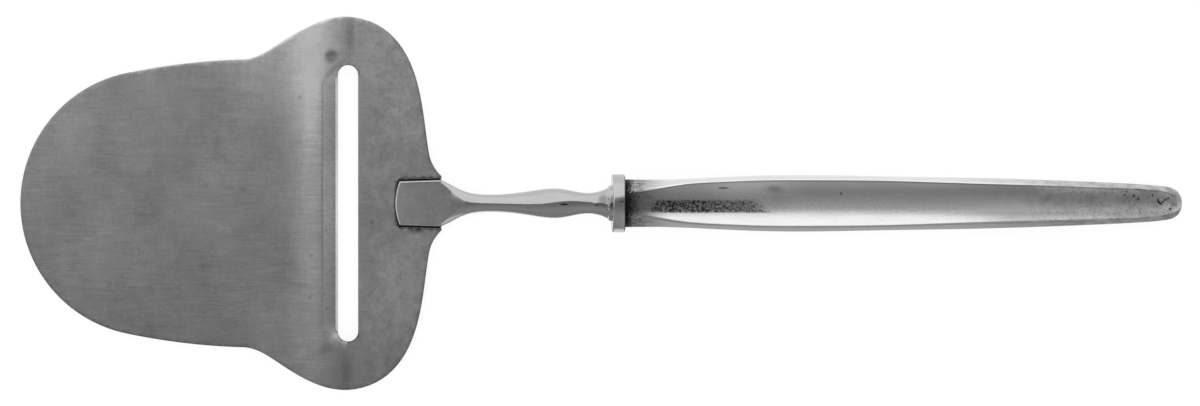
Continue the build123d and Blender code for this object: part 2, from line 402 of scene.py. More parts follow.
def scatter():
    """Inner points: a staggered grid, finer rows by the lip, and rings in the dents."""
    columns = np.arange(grid_step, blade_length, grid_step)
    rows = np.arange(-half_width, half_width, grid_step)
    grid = [(x, y + (i % 2) * grid_step / 2) for i, x in enumerate(columns) for y in rows]
    lip_rows = np.arange(-slot_half + 0.2 * mm, slot_half, lip_step)
    lip_columns = np.concatenate((
        np.linspace(fold_x - 4 * mm, fold_x - 0.5 * mm, 9),
        np.linspace(fold_x - 0.4 * mm, fold_x + 0.9 * mm, 14),
        np.linspace(fold_x + 1.2 * mm, bevel_x - 0.12 * mm, 7),
        np.linspace(bevel_x + 0.1 * mm, slot_front - 0.1 * mm, 3),
    ))
    lip = [(x, y) for x in lip_columns for y in lip_rows]
    dents = [
        (dimple_x + side * dimple_lean + r * cos(a), side * (dimple_y + r * sin(a)))
        for r in np.linspace(0.12, 1.5, 9) * mm
        for a in np.linspace(0, 2 * pi, 25)[:-1]
        for side in (1, -1)
    ]
    grid = [p for p in grid if not in_lip(*p) and not in_dent(*p)]
    lip = [p for p in lip if not in_dent(*p)]
    return np.array(grid + lip + dents)


def fill(outer, hole, inner, creases):
    """Triangles inside the outer loop and outside the hole; returns points and triangles."""
    inner = inner[inside(inner, outer) & ~inside(inner, hole)]
    inner = inner[far_from(inner, outer, 0.14 * mm) & far_from(inner, hole, 0.08 * mm)]
    points = [*outer, *hole]
    edges = []
    for first, length in ((0, len(outer)), (len(outer), len(hole))):
        edges += [(first + i, first + (i + 1) % length) for i in range(length)]
    for crease in creases:
        edges += [(len(points) + i, len(points) + i + 1) for i in range(len(crease) - 1)]
        points += list(crease)
    points += list(inner)
    found, _, faces, *_ = delaunay_2d_cdt(
        [Vector(p) / mm for p in points], edges, [], 0, 1e-5, False
    )
    found = np.array([tuple(p) for p in found]) * mm
    faces = np.array(faces)
    middles = found[faces].mean(axis=1)
    return found, faces[inside(middles, outer) & ~inside(middles, hole)]


inner_points = scatter()
print(len(inner_points), "inner points")

# %% [markdown]
# ## Making the blade solid
# The upper and lower faces are filled separately, lifted to their heights, and joined by
# strips of quads: three narrow ones round the softened upper rim, and one straight one
# down the slot. The tongue that seats the neck hangs below the sheet as a slab of its own.

# %% Helpers that turn rings of points into mesh objects
def new_object(name, points, faces):
    """A mesh object, linked into the scene."""
    mesh = bpy.data.meshes.new(name)
    mesh.from_pydata([tuple(p) for p in points], [], [tuple(int(i) for i in f) for f in faces])
    made = bpy.data.objects.new(name, mesh)
    bpy.context.scene.collection.objects.link(made)
    return made


def face_outwards(mesh, weld=False):
    """Turn all faces outwards, after welding points that coincide where that is asked."""
    made = bmesh.new()
    made.from_mesh(mesh)
    if weld:
        bmesh.ops.remove_doubles(made, verts=made.verts, dist=0.002 * mm)
        bmesh.ops.dissolve_degenerate(made, edges=made.edges, dist=0.0005 * mm)
    bmesh.ops.recalc_face_normals(made, faces=made.faces)
    made.to_mesh(mesh)
    made.free()


def put_piece(name, points, faces, stands_for, sharp_angle=32):
    """A piece of the slicer, welded, smooth but for its sharp edges, and hung on the root body."""
    piece = new_object(name, points, faces)
    mesh = piece.data
    face_outwards(mesh, weld=True)
    mesh.polygons.foreach_set("use_smooth", [True] * len(mesh.polygons))
    mesh.set_sharp_from_angle(angle=radians(sharp_angle))
    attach(piece, "root")
    if stands_for:
        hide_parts(*stands_for)
    print(name, len(mesh.vertices), "vertices", len(mesh.polygons), "faces")
    return piece


def ring_numbers(rings, first=0):
    """The point numbers of rings of one size, stacked one after another."""
    size = len(rings[0])
    return [range(first + i * size, first + (i + 1) * size) for i in range(len(rings))]


def ring_faces(rings, closed=True):
    """Quads between rows of point numbers."""
    faces = []
    for low, high in zip(rings[:-1], rings[1:]):
        last = len(low) if closed else len(low) - 1
        for i in range(last):
            j = (i + 1) % len(low)
            faces.append((low[i], low[j], high[j], high[i]))
    return faces


def capped(rings, first=0):
    """Quads along a stack of rings, and one face over each of its ends."""
    numbers = ring_numbers(rings, first)
    return ring_faces(numbers) + [tuple(numbers[0])[::-1], tuple(numbers[-1])]


print("a stack of 2 squares has", len(capped([range(4)] * 2)), "faces")

# %% The tongue below the sheet
tongue_drop = 0.9 * mm
tongue_wall = 0.9 * mm
tongue_ramp = 0.7 * mm


def tongue_ring(front_x, nose, front_half, rear_half, level, samples):
    """A level ring with a bowed front edge and a straight rear one."""
    bow = np.linspace(-1, 1, samples)
    front = np.column_stack((front_x + nose * bow ** 2, front_half * bow))
    plan = np.vstack((front, [(rear_x, rear_half), (rear_x, -rear_half)]))
    return np.column_stack((plan, np.full(len(plan), level)))


def tongue_slab():
    """Rings of the pressed-down tongue: a slab with a sloping front, just below the sheet."""
    low = plate_bottom - tongue_drop
    levels = [
        (low, tongue_wall - tongue_ramp), (low + tongue_ramp, tongue_wall),
        (plate_top - tongue_drop, tongue_wall), (plate_top - tongue_drop, 0.0),
    ]
    return [
        tongue_ring(
            rear_x - paddle_length - reach, paddle_nose, paddle_front_half, paddle_rear_half,
            level, 19,
        )
        for level, reach in levels
    ]


print("the tongue lies", round(tongue_drop / mm, 2), "mm below the sheet")

# %% Build the blade
def lift(plan, height, drop=0.0):
    """Plan points at their height, in the slicer's place."""
    z = height(plan[:, 0], plan[:, 1]) - drop
    return np.column_stack((plan[:, 0] + tip_x, plan[:, 1], z))


def build_blade():
    """The blade plate as one mesh."""
    crease_y = np.linspace(-slot_half + 1.2 * mm, slot_half - 1.2 * mm, 220)
    crease = np.column_stack((np.full_like(crease_y, bevel_x), crease_y))
    corners = np.linspace(0, pi / 2, 4)
    rims = [offset_loop(border, rounding * (1 - cos(a))) for a in corners]
    drops = [rounding * (1 - sin(a)) for a in corners]
    top_points, top_faces = fill(rims[-1], slot_rim, inner_points, [crease])
    low_points, low_faces = fill(border, slot_rim, inner_points, [])
    points = [lift(top_points, topside), lift(low_points, underside)]
    faces = [tuple(f) for f in top_faces] + [tuple(f[::-1] + len(top_points)) for f in low_faces]
    start = len(top_points) + len(low_points)
    rim_rings = [lift(border, underside)]
    rim_rings += [lift(rim, topside, drop) for rim, drop in zip(rims, drops)]
    slot_rings = [lift(slot_rim, underside), lift(slot_rim, topside)]
    for rings in (rim_rings, slot_rings):
        faces += ring_faces(ring_numbers(rings, start))
        start += len(rings) * len(rings[0])
        points += rings
    slab = tongue_slab()
    points = np.vstack(points + slab)
    return put_piece(
        "slicer_blade", points, faces + capped(slab, start), ["blade_plate"]
    )


blade = build_blade()

# %% [markdown]
# ## Black in the slits
# The slits beside the neck's paddle are cut right through the sheet. On the old slicer they
# read black, from hardened dirt and from the shade down in the narrow gaps, so each gets a
# low uneven ridge of black filling that stands for both, dirt and painted shade.

# %% Pack the slits
def build_slit_dirt_and_shade(name, side):
    """An uneven bar of black filling, dirt and painted shade, that fills most of one slit."""
    front_x, back_x = pocket_front + 0.55 * mm, blade_length - 0.12 * mm
    rings = []
    for share in np.linspace(0, 1, 46):
        x = front_x + (back_x - front_x) * share
        inner = paddle_front_half + (paddle_rear_half - paddle_front_half) * share - 0.12 * mm
        outer = inner + slit_width + 0.1 * mm
        lumps = 0.5 + 0.3 * sin(19 * share + side) + 0.2 * sin(47 * share)
        low = plate_bottom - 0.05 * mm
        taper = min(1.0, 14 * share + 0.2, 14 * (1 - share) + 0.2)
        top = low + (plate_top - (0.03 + 0.05 * lumps) * mm - low) * taper
        shoulder = top - 0.04 * mm * taper
        outline = [
            (inner, low), (outer, low), (outer, shoulder), ((inner + outer) / 2, top),
            (inner, shoulder),
        ]
        rings.append([(x + tip_x, side * y, z) for y, z in outline])
    return put_piece(name, np.vstack(rings), capped(rings), [])


slit_dirt_and_shade = [build_slit_dirt_and_shade("slit_dirt_and_shade_left", 1), build_slit_dirt_and_shade("slit_dirt_and_shade_right", -1)]

# %% [markdown]
# ## The neck's run from the paddle to the handle
# The neck is one forging. A flat paddle sits in the blade's pocket, and behind it the steel
# closes to a thin round waist, swells, and opens like a trumpet against the collar. It
# climbs on the way, because the handle stands higher than the blade. Rings set square to a
# curved line give all of that, and the inside end goes on as a square tang.

# %% Where the neck, the collar and the handle stand
neck_length = 30.8 * mm
paddle_thickness = 1.2 * mm
paddle_seat = plate_top - tongue_drop + braze_gap
paddle_top = paddle_seat + paddle_thickness
paddle_middle = (paddle_seat + paddle_top) / 2
collar_height = 8.0 * mm
collar_thickness = 2.3 * mm
handle_length = 100.84 * mm
handle_half_width = 10.12 * mm / 2
handle_half_thickness = 8.3 * mm / 2
rest_reach = collar_thickness + 0.926 * handle_length
rest_depth = 0.699 * handle_half_thickness
handle_slope = (
    asin(collar_height / hypot(rest_reach, rest_depth)) - atan2(rest_depth, rest_reach)
)
handle_along = np.array((cos(handle_slope), 0, -sin(handle_slope)))
handle_up = np.array((sin(handle_slope), 0, cos(handle_slope)))
sideways = np.array((0.0, 1.0, 0.0))
collar_x = rear_x + neck_length
collar_centre = np.array((collar_x, 0, collar_height))
mouth_centre = collar_centre + handle_along * collar_thickness
print(f"the handle slopes down {np.degrees(handle_slope):.2f} degrees")

# %% The table of the neck
neck_waist, neck_swell, neck_pinch, flare_width = 3.15 * mm, 5.3 * mm, 3.76 * mm, 6.7 * mm
paddle_rear = 2 * paddle_rear_half


def partway(low, high, share):
    """A size between two others."""
    return low + share * (high - low)


# Share of the neck's length, width, thickness over width, and share of the climb
neck_rows = [
    (-0.01, paddle_rear, 0.32, 0.0),
    (0.048, partway(neck_waist, paddle_rear, 0.7), 0.36, 0.0),
    (0.107, partway(neck_waist, paddle_rear, 0.347), 0.5, 0.01),
    (0.166, partway(neck_waist, paddle_rear, 0.12), 0.72, 0.02),
    (0.284, neck_waist, 1.0, 0.138),
    (0.52, partway(neck_waist, neck_swell, 0.6), 1.0, 0.56),
    (0.695, neck_swell, 1.0, 0.862),
    (0.874, neck_pinch, 1.0, 1.01),
    (0.935, partway(neck_pinch, flare_width, 0.25), 1.0, 1.013),
    (1.0, flare_width, 1.0, 1.0),
]
print(len(neck_rows), "rows describe the neck")

# %% Rings of the neck, the spigot and the tang
flare_rim = 0.7 * mm
spigot_radius = 2.2 * mm
tang_length = 62 * mm
round_angles = np.linspace(0, 2 * pi, 128, endpoint=False)
circle = np.column_stack((np.cos(round_angles), np.sin(round_angles)))
square = circle / np.abs(circle).max(axis=1)[:, None]

# How far before the collar, and the radius, of the trumpet's last rings
flare_end = [(0.6, 3.1), (0.45, 3.17), (0.3, 3.23), (0.15, 3.28), (0.0, 3.32)]


def placed(centre, across, upward, outline):
    """Outline points, given across and upward, set at a place in space."""
    return centre + outline[:, :1] * across + outline[:, 1:] * upward


def behind_collar(along, outline):
    """An outline set square to the handle's axis, at a distance from the collar's front."""
    return placed(collar_centre + handle_along * along, sideways, handle_up, outline)


def neck_rings():
    """Oval and round rings from inside the paddle to the trumpet."""
    climb = collar_height - paddle_middle
    rows = np.array([
        (rear_x + along * neck_length, paddle_middle + rise * climb, width, width * flat)
        for along, width, flat, rise in neck_rows
    ])
    fine = spline(rows, np.linspace(0, 1, 170))
    line = fine[:, :2]
    slopes = np.gradient(line, axis=0)
    slopes[0], slopes[-1] = (1, 0), (handle_along[0], handle_along[2])
    rings = []
    for (x, z), (dx, dz), size in zip(line, slopes, fine[:, 2:]):
        upward = np.array((-dz, 0, dx)) / hypot(dx, dz)
        if x < collar_x - flare_rim:
            rings.append(placed(np.array((x, 0, z)), sideways, upward, circle * size / 2))
    return rings


def neck_and_tang():
    """All rings: the neck, the end of the trumpet, the spigot and the tapered square tang."""
    flare = [behind_collar(-back * mm, circle * radius * mm) for back, radius in flare_end]
    inside_handle = [
        (0.0, circle * spigot_radius), (collar_thickness, circle * spigot_radius),
        (collar_thickness, square * 1.5 * mm), (collar_thickness + tang_length, square * 0.8 * mm),
    ]
    return [*neck_rings(), *flare, *(behind_collar(*ring) for ring in inside_handle)]


def tube(name, rings):
    """A closed mesh through rings, for the cutting and joining that follow."""
    solid = new_object(name, np.vstack(rings), capped(rings))
    face_outwards(solid.data)
    return solid


neck = tube("neck_blank", neck_and_tang())
print("the neck's blank has", len(neck.data.vertices), "points")

# %% [markdown]
# ## Grinding the flat
# On the real piece a flat was ground across the paddle and the root of the neck, and where
# the wheel ran out it left a sharp V. The same thing is done here: a block with a curved
# underside is subtracted from the round neck by a boolean, so the V comes out by itself.
# The paddle is then joined on, its rim eased by a small slope.

# %% The grinding wheel and the paddle's blank
paddle_ease = 0.21 * mm
paddle_play = 0.12 * mm
cutter_half = 8 * mm
wheel_rise = 0.15
flat_margin = 0.3 * mm
run_out_reach = 0.138 * neck_length
run_out_lift = 0.255 * neck_waist


def prism(name, profile):
    """A solid from a profile in X and Z, as deep to one side as to the other."""
    return tube(name, [
        np.array([(x, y, z) for x, z in profile]) for y in (-cutter_half, cutter_half)
    ])


def grinding_block():
    """The profile of what the wheel takes away above the paddle and the neck's root."""
    flat_end = (rear_x - flat_margin, paddle_top)
    lift_end = (rear_x + run_out_reach, paddle_top + run_out_lift)
    curve, _ = arc_from(flat_end, (cos(wheel_rise), sin(wheel_rise)), lift_end, 24)
    above = collar_height + 5 * mm
    start_x = rear_x - paddle_length / 2
    return [(start_x, paddle_top), *curve, (lift_end[0], above), (start_x, above)]


def paddle_rings():
    """The paddle at its foot, under its eased rim and on top."""
    rims = [
        (paddle_seat, 0.0), (paddle_top - paddle_ease, 0.0),
        (paddle_top - 0.08 * mm, 0.12 * mm), (paddle_top, paddle_ease),
    ]
    return [
        tongue_ring(
            rear_x - paddle_length + inset, paddle_nose - inset * 0.3,
            paddle_front_half - paddle_play - inset, paddle_rear_half - paddle_play - inset,
            level, 41,
        )
        for level, inset in rims
    ]


print("the wheel's profile has", len(grinding_block()), "corners")

# %% Cut the flat and join the paddle
def carve(target, tool, operation):
    """Apply a boolean and throw the tool away."""
    step = target.modifiers.new("cut", "BOOLEAN")
    step.operation, step.object, step.solver = operation, tool, "EXACT"
    bpy.context.view_layer.update()
    result = bpy.data.meshes.new_from_object(
        target.evaluated_get(bpy.context.evaluated_depsgraph_get())
    )
    target.modifiers.clear()
    target.data = result
    bpy.data.objects.remove(tool)


under_seat = paddle_seat - 3 * mm
seat_block = [
    (rear_x - 2 * mm, paddle_seat), (rear_x - 2 * mm, under_seat),
    (rear_x + braze_gap, under_seat), (rear_x + braze_gap, paddle_seat),
]
carve(neck, prism("grinding_wheel", grinding_block()), "DIFFERENCE")
carve(neck, prism("seat_cutter", seat_block), "DIFFERENCE")
carve(neck, tube("paddle_blank", paddle_rings()), "UNION")
shank_points = [v.co.copy() for v in neck.data.vertices]
shank_faces = [tuple(p.vertices) for p in neck.data.polygons]
bpy.data.objects.remove(neck)
shank = put_piece("forged_shank", shank_points, shank_faces, ["shank"], 24)

# %% [markdown]
# ## The collar
# A turned ring closes the joint between neck and handle. It is a true solid of revolution,
# so its profile is drawn once and spun round the handle's axis. Years of polishing have
# rounded its outer edges, and that rounding catches a thin line of light.

# %% Spin the collar's profile
collar_radius = 5.25 * mm
collar_bore = 2.25 * mm
collar_soft = 0.26 * mm
collar_low, collar_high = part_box("collar_ring")


def build_collar():
    """The ring between the neck and the handle."""
    turn = np.linspace(0, pi / 2, 9)
    rise = np.column_stack(
        (collar_soft * (1 - np.cos(turn)), collar_radius - collar_soft * (1 - np.sin(turn)))
    )
    fall = np.column_stack((collar_thickness - rise[::-1, 0], rise[::-1, 1]))
    profile = np.vstack(([(0, collar_bore)], rise, fall, [(collar_thickness, collar_bore)]))
    rings = []
    for angle in np.linspace(0, 2 * pi, 160, endpoint=False):
        arm = sideways * cos(angle) + handle_up * sin(angle)
        rings.append(placed(collar_centre, handle_along, arm, profile))
    numbers = ring_numbers(rings)
    faces = ring_faces([*numbers, numbers[0]])
    return put_piece("collar", np.vstack(rings), faces, ["collar_ring"], 40)


collar = build_collar()
print(f"collar {(collar_high.y - collar_low.y) / mm:.2f} mm wide in the frame,",
      f"{2 * collar_radius / mm:.2f} mm here")

# %% [markdown]
# ## The handle's section
# Across the handle, two bowed sides meet a hollow flute above and another below in four
# ridges. Each of the four lines is a parabola, so three sizes fix it: how far the ridge
# stands out, how high it stands, and how deep the line bows between its ridges. The table
# gives these sizes at stations along the handle, and the spline blends them in between.

# %% The table of stations and the spline through it
# Share of the length, then half width, ridge out, ridge up and flute floor as shares
handle_rows = [
    (0.0, 0.852, 0.375, 0.863, 0.964), (0.045, 0.842, 0.49, 0.872, 0.79),
    (0.1, 0.864, 0.665, 0.905, 0.73), (0.172, 0.931, 0.765, 0.952, 0.715),
    (0.244, 0.99, 0.818, 0.983, 0.715), (0.3157, 1.008, 0.826, 1.0, 0.72),
    (0.459, 0.964, 0.804, 0.988, 0.725), (0.603, 0.92, 0.721, 0.928, 0.735),
    (0.746, 0.84, 0.644, 0.843, 0.735), (0.854, 0.755, 0.573, 0.759, 0.685),
    (0.926, 0.682, 0.52, 0.699, 0.648), (0.9614, 0.626, 0.45, 0.65, 0.61),
    (0.9794, 0.567, 0.37, 0.59, 0.568), (0.99, 0.474, 0.29, 0.47, 0.48),
    (0.997, 0.32, 0.19, 0.31, 0.33), (1.0, 0.18, 0.1, 0.17, 0.19),
]
row_sizes = np.array((
    handle_length, handle_half_width, handle_half_width, handle_half_thickness,
    handle_half_thickness,
))
stations = spline(np.array(handle_rows) * row_sizes, np.linspace(0, 1, 300))
print("the handle ends", round(stations[-1, 0] / mm, 2), "mm from its mouth")

# %% [markdown]
# ## Two soldered halves
# The handle was stamped as two thin shells, soldered together along the sides and filled
# with cement. Each shell is built as rings that run over its outside and back along its
# inside, so that it is a true closed skin with the wall of the real one. Past the end of
# the hollow, the inner line falls onto the joint, and the nose is solid.

# %% Outline of half a section, and the shells made of it
wall = 0.7 * mm
cavity_end = 0.9794 * handle_length
solder_half = 0.05 * mm
seam_setback = 0.015 * mm
ridge_round = 0.13 * mm
ridge_pull = 1.2
flank_samples = 26


def half_section(side, out, up, floor):
    """From the joint on one side, over both ridges, to the joint on the other side."""
    height = np.linspace(solder_half, up - ridge_round, flank_samples)
    flank = np.column_stack((out + (side - out) * (1 - (height / up) ** 2), height))
    trim = min(ridge_round / out, 0.2)
    across = np.linspace(1 - trim, trim - 1, 2 * flank_samples + 1)
    flute = np.column_stack((out * across, floor + (up - floor) * across ** 2))
    corner = (flank[-1] + flute[0] + np.array((out, up)) * ridge_pull) / (2 + ridge_pull)
    return np.vstack((flank, corner, flute, corner * (-1, 1), flank[::-1] * (-1, 1)))


def build_shell(name, sign, node):
    """One stamped half of the handle: rings over its outside and back along its inside."""
    rings = []
    for along, side, out, up, floor in stations:
        outer = half_section(side, out, up, floor)
        if along < cavity_end:
            inner = half_section(side - wall, out - 0.9 * wall, up - 1.2 * wall, floor - wall)
        else:
            inner = np.column_stack((outer[:, 0] * 0.98, np.full(len(outer), solder_half)))
        both = np.vstack((outer, inner[::-1]))
        rings.append(placed(mouth_centre + handle_along * along, sideways, handle_up * sign, both))
    size = len(rings[0])
    numbers = ring_numbers(rings)
    faces = ring_faces(numbers)
    for ring in (numbers[0], numbers[-1]):
        for i in range(size // 2 - 1):
            faces.append((ring[i], ring[i + 1], ring[size - 2 - i], ring[size - 1 - i]))
    return put_piece(name, np.vstack(rings), faces, [node], 38)


upper_shell = build_shell("handle_upper", 1, "handle_upper_shell")
lower_shell = build_shell("handle_lower", -1, "handle_lower_shell")

# %% The line of solder between the halves
def build_seam():
    """A thin flat band of solder, set back a hair from the handle's sides."""
    band = [(a, side - seam_setback) for a, side, *_ in stations]
    hollow = [(a, side - wall) for a, side, *_ in stations if a < cavity_end]
    outer, inner = [[*half, *((a, -s) for a, s in half[::-1])] for half in (band, hollow)]
    points = [
        mouth_centre + handle_along * a + sideways * y + handle_up * level
        for level in (-solder_half, solder_half) for a, y in [*outer, *inner]
    ]
    rim, size = len(outer), len(outer) + len(inner)
    faces = [(i, i + 1, i + 1 + size, i + size) for i in range(size - 1) if i != rim - 1]
    for level in (0, size):
        for i in range(len(hollow) - 1):
            for o, n in ((i, rim + i), (rim - 2 - i, size - 2 - i)):
                faces.append([level + k for k in (o, o + 1, n + 1, n)])
        for i in range(len(hollow) - 1, len(band) - 1):
            faces.append([level + k for k in (i, i + 1, rim - 2 - i, rim - 1 - i)])
    return put_piece("seam_line", points, faces, ["seam_solder"], 40)


seam = build_seam()

# %% [markdown]
# ## Finishes written as sums
# A worn finish is a sum of small things: streaks, cloudiness, spots, grime. In Blender each
# is a chain of nodes that starts from the place on the object. Three small classes let that
# chain be written as plain arithmetic: a wire is a value that runs through a material, a
# finish holds the nodes, and a surface finish knows places and sizes on the slicer, all of
# them in millimetres.

# %% A wire, with arithmetic that adds the nodes
class Wire:
    """A value that runs through a material; arithmetic on it adds Math nodes."""

    def __init__(self, finish, socket):
        self.finish, self.socket = finish, socket

    def __add__(self, other):
        return self.finish.calc("ADD", self, other)

    def __radd__(self, other):
        return self.finish.calc("ADD", other, self)

    def __sub__(self, other):
        return self.finish.calc("SUBTRACT", self, other)

    def __rsub__(self, other):
        return self.finish.calc("SUBTRACT", other, self)

    def __mul__(self, other):
        return self.finish.calc("MULTIPLY", self, other)

    __rmul__ = __mul__

    def at_least(self, other):
        """The larger of two values."""
        return self.finish.calc("MAXIMUM", self, other)

    def at_most(self, other):
        """The smaller of two values."""
        return self.finish.calc("MINIMUM", self, other)

    def kept(self, low, high):
        """This value, kept between two limits."""
        return self.at_least(low).at_most(high)

    def clamped(self):
        """This sum, kept between 0 and 1."""
        self.socket.node.use_clamp = True
        return self

    def step(self, low, high, at_low=0.0, at_high=1.0):
        """A smooth step, from at_low where the wire is low to at_high where it is high."""
        inputs = {"Value": self, "From Min": low, "From Max": high}
        inputs.update({"To Min": at_low, "To Max": at_high})
        return self.finish.node("MapRange", inputs, interpolation_type="SMOOTHSTEP")


def total(wires):
    """The sum of several wires."""
    return sum(wires[1:], wires[0])


print("a wire can be added, multiplied, stepped and clamped")

# %% A finish, which holds the nodes
class Finish:
    """The nodes of a material or a world."""

    def __init__(self, owner):
        owner.use_nodes = True
        self.owner, self.tree = owner, owner.node_tree
        self.tree.nodes.clear()

    def node(self, kind, inputs=None, output=0, **settings):
        """Add a shader node, set or link its inputs, and return one of its outputs."""
        made = self.tree.nodes.new("ShaderNode" + kind)
        for name, value in settings.items():
            setattr(made, name, value)
        for key, value in (inputs or {}).items():
            if isinstance(value, Wire):
                self.tree.links.new(value.socket, made.inputs[key])
            else:
                made.inputs[key].default_value = value
        return Wire(self, made.outputs[output]) if made.outputs else None

    def calc(self, operation, first, second):
        """One sum on two values."""
        return self.node("Math", {0: first, 1: second}, operation=operation)

    def painted(self, name):
        """A value that is stored on the mesh's points."""
        return self.node("Attribute", output="Fac", attribute_name=name)

    def show(self, surface):
        """Send a shader to the material's output, and give back the material."""
        self.node("OutputMaterial", {"Surface": surface})
        return self.owner


def new_finish(name):
    """A plain finish for a new material of the studio."""
    return Finish(bpy.data.materials.new(name))


print("a finish adds nodes and links them")

# %% A surface finish, which measures in millimetres
class SurfaceFinish(Finish):
    """A material that depends on the place on the slicer."""

    def place(self, stretch=(1, 1, 1)):
        """The place on the slicer in millimetres, stretched for streaks."""
        place = self.node("TexCoord", output="Object")
        return self.node("Mapping", {"Vector": place, "Scale": tuple(s / mm for s in stretch)})

    def axis(self, axis):
        """One coordinate of the place, in millimetres."""
        return self.node("SeparateXYZ", {0: self.place()}, output=axis)

    def noise(self, stretch, scale=1.0, detail=3.0, roughness=0.55):
        """Noise from 0 to 1 around a half; the stretch makes streaks of it."""
        inputs = {"Vector": self.place(stretch), "Scale": scale, "Detail": detail}
        return self.node("TexNoise", {**inputs, "Roughness": roughness})

    def spot(self, x, y, size_x, size_y, soft=0.5, fray=None):
        """1 inside an oval mark and 0 outside it, in millimetres; a noise may fray its edge."""
        place = self.node("TexCoord", output="Object")
        inputs = {0: place, 1: (1 / (size_x * mm), 1 / (size_y * mm), 0.0)}
        near = self.node("VectorMath", inputs, operation="MULTIPLY")
        inputs = {0: near, 1: (x / size_x, y / size_y, 0.0)}
        apart = self.node("VectorMath", inputs, output="Value", operation="DISTANCE")
        if fray is not None:
            apart = apart + fray
        return apart.step(1 + soft, 1 - soft)

    def metal(self, tone, roughness, tint=(1.0, 1.0, 1.0), height=None, depth=0.01):
        """A metal whose brightness, roughness and relief are wired in."""
        grey = self.node("CombineColor", {0: tone, 1: tone, 2: tone})
        color = self.node("VectorMath", {0: grey, 1: tint}, operation="MULTIPLY")
        inputs = {"Base Color": color, "Metallic": 1.0, "Roughness": roughness}
        if height is not None:
            bump = {"Height": height, "Distance": depth * mm, "Strength": 1.0}
            inputs["Normal"] = self.node("Bump", bump)
        return self.show(self.node("BsdfPrincipled", inputs))


def surface_finish(name):
    """A surface finish for a new material of the slicer."""
    return SurfaceFinish(bpy.data.materials.new(name))


print("surface finishes measure in millimetres")

# %% [markdown]
# ## Blade steel
# Stainless sheet leaves the rolls with a fine straight grain. Behind the slot the grain has
# worn away to soft blotches. Washing and cutting add short scratches across it, cloudy
# water marks and small nicks.

# %% Wire the blade's steel
blade_tone = 0.41

# Places and half sizes of small dark nicks
nicks = [
    (-54.4, 19.2, 0.35, 0.35), (-52.4, -9.5, 0.4, 0.3), (-52.6, -17.1, 0.35, 0.35),
    (-49.55, -19.1, 0.3, 0.3), (-41.4, -3.4, 0.3, 0.45),
]


def blade_finish():
    """Satin sheet steel with grain, scratches, smears, grime, and painted light and shade."""
    steel = surface_finish("blade_steel")
    grain = steel.noise((0.16, 1.9, 1.0), 1.5, 4, 0.65)
    brushed = steel.noise((0.07, 0.07, 0.07), 1.0, 3).step(0.4, 0.6, 0.5, 1.3)
    behind_slot = steel.axis("X").step(-43.5, -40.5)
    streaks = (grain - 0.5) * brushed * (1.0 - 0.6 * behind_slot)
    cross = steel.noise((2.2, 0.25, 1.0), 1.4, 4, 0.6)
    fine = steel.noise((1, 1, 1), 2.4, 5, 0.75)
    mottle = steel.noise((0.6, 0.6, 0.6), 1.0, 4, 0.6)
    cloud = steel.noise((0.13, 0.08, 0.1), 1.0, 4, 0.55)
    blotches = (mottle - 0.5) * behind_slot
    specks = steel.noise((1, 1, 1), 2.6, 2).step(0.66, 0.76)
    hairs = steel.noise((0.05, 2.6, 1.0), 1.1, 2).step(0.68, 0.76)
    shade, stain, grime_and_shade = [steel.painted(name) for name in ("shade", "stain", "grime_and_shade")]
    marks = total([steel.spot(*nick) for nick in nicks])
    tone = (
        blade_tone - 0.24 + 0.23 * streaks + 0.07 * cross + 0.19 * fine + 0.1 * mottle
        + 0.14 * cloud - 0.06 * specks - 0.05 * hairs - 0.15 * stain - 0.1 * marks
        + 0.24 * blotches
    )
    clean = (1.0 - grime_and_shade).clamped().at_least(0.03)
    tone = (tone * shade * clean).kept(0.01, 0.95)
    roughness = 0.28 + 0.14 * cloud + 0.08 * mottle + 0.12 * stain + 0.3 * grime_and_shade
    return steel.metal(tone, roughness, height=grain + fine, depth=0.006)


blade.data.materials.append(blade_finish())
print("blade steel wired")

# %% [markdown]
# ## Marks that belong to one place
# Some marks sit in one place: painted light and shade across the sheet, a painted highlight
# on the strip before the fold, on the flap and on the bevel, painted shade on the cut edge,
# in the fold's crease and round the slot's ends, the smears beyond the ends of the slot,
# darker rings in the dents, and grime and painted shade in the slits. They are worked out
# once for every point of the mesh and stored there, so the material only has to read them.

# %% Tables and helpers for painting the blade
# Amount, place and half sizes of patches of painted light, or of painted shade where negative
light_and_shade_patches = [
    (0.55, -54.5, 27, 9, 10.5), (0.14, -63, 26, 8, 7), (0.09, -92, -14, 9, 8),
    (0.1, -63, -3, 7, 9), (0.18, -57, -24, 8, 14), (-0.09, -71, -17, 8, 9),
    (0.12, -38, -20, 8, 10), (-0.1, -34.6, 3, 5, 7), (-0.12, -46, -31, 5, 4),
    (0.16, -96, 9, 8, 12), (-0.12, -45.4, 29.5, 3.4, 5.5),
]
# A painted highlight and a painted shade where the fold turns in, in the same columns
fold_end_patches = [(0.6, -48.3, -24.5, 0.95, 0.9), (-0.4, -48.2, 23.4, 0.8, 1.3)]
# Smears beyond the ends of the slot, with cleaner streaks where negative
smears = [
    (1.35, -45.4, 30.6, 0.95, 4.4), (1.3, -46.0, -30.6, 0.95, 3.4),
    (0.45, -43.3, 31.0, 0.4, 3.6), (-0.7, -42.3, -21.4, 0.5, 1.3),
    (-0.6, -42.6, -24.6, 0.45, 1.2), (-0.5, -41.0, -26.3, 0.9, 0.7),
]


def paint(piece, name, values):
    """Store one value per point of a piece."""
    layer = piece.data.attributes.new(name, "FLOAT", "POINT")
    layer.data.foreach_set("value", np.asarray(values, dtype=np.float32))


def points_of(piece):
    """The piece's points as an array, in millimetres."""
    flat = np.empty(len(piece.data.vertices) * 3)
    piece.data.vertices.foreach_get("co", flat)
    return flat.reshape(-1, 3) / mm


def patches(points, table):
    """The sum of soft oval patches seen from above."""
    return sum(
        amount * np.exp(-((points[:, 0] - x) / size_x) ** 2 - ((points[:, 1] - y) / size_y) ** 2)
        for amount, x, y, size_x, size_y in table
    )


print(len(light_and_shade_patches), "worn patches and", len(smears), "smears")
